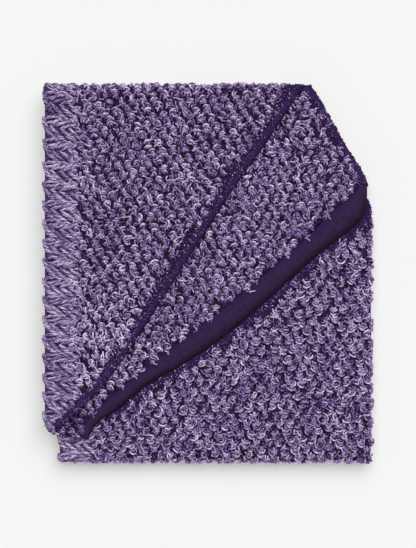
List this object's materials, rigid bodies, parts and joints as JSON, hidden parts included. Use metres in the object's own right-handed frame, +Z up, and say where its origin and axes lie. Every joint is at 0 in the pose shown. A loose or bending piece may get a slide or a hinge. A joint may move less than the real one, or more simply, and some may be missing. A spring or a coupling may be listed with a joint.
{
  "type": "triangular shawl",
  "caption": "Chunky two-tone knitted triangular shawl, folded flat, with a plaited border along its long edge and smooth dark bands along its short edges.",
  "frame": {"origin": "bottom centre of the folded shawl, on the surface that it lies on", "axes": "+Z up from the surface, +Y along the long plaited edge towards the far fold, +X to the right, away from the plaited edge"},
  "size_m": [0.364, 0.4158, 0.0337],
  "materials": {
    "moss_knit": "chunky two-tone moss knit, dark violet and pale lilac strands, matt",
    "plaited_knit": "plaited chevron knit of the same yarns, matt",
    "smooth_binding": "smooth fine knit in dark violet yarn, matt with a soft nap"
  },
  "bodies": {
    "root": {"under_fold": "moss_knit", "lower_panel": "moss_knit", "lower_border": "plaited_knit", "middle_panel": "moss_knit", "middle_edge_band": "smooth_binding", "shoulder_edge_band": "smooth_binding", "top_panel": "moss_knit", "top_border": "plaited_knit", "top_edge_band": "smooth_binding"}
  },
  "joints": []
}
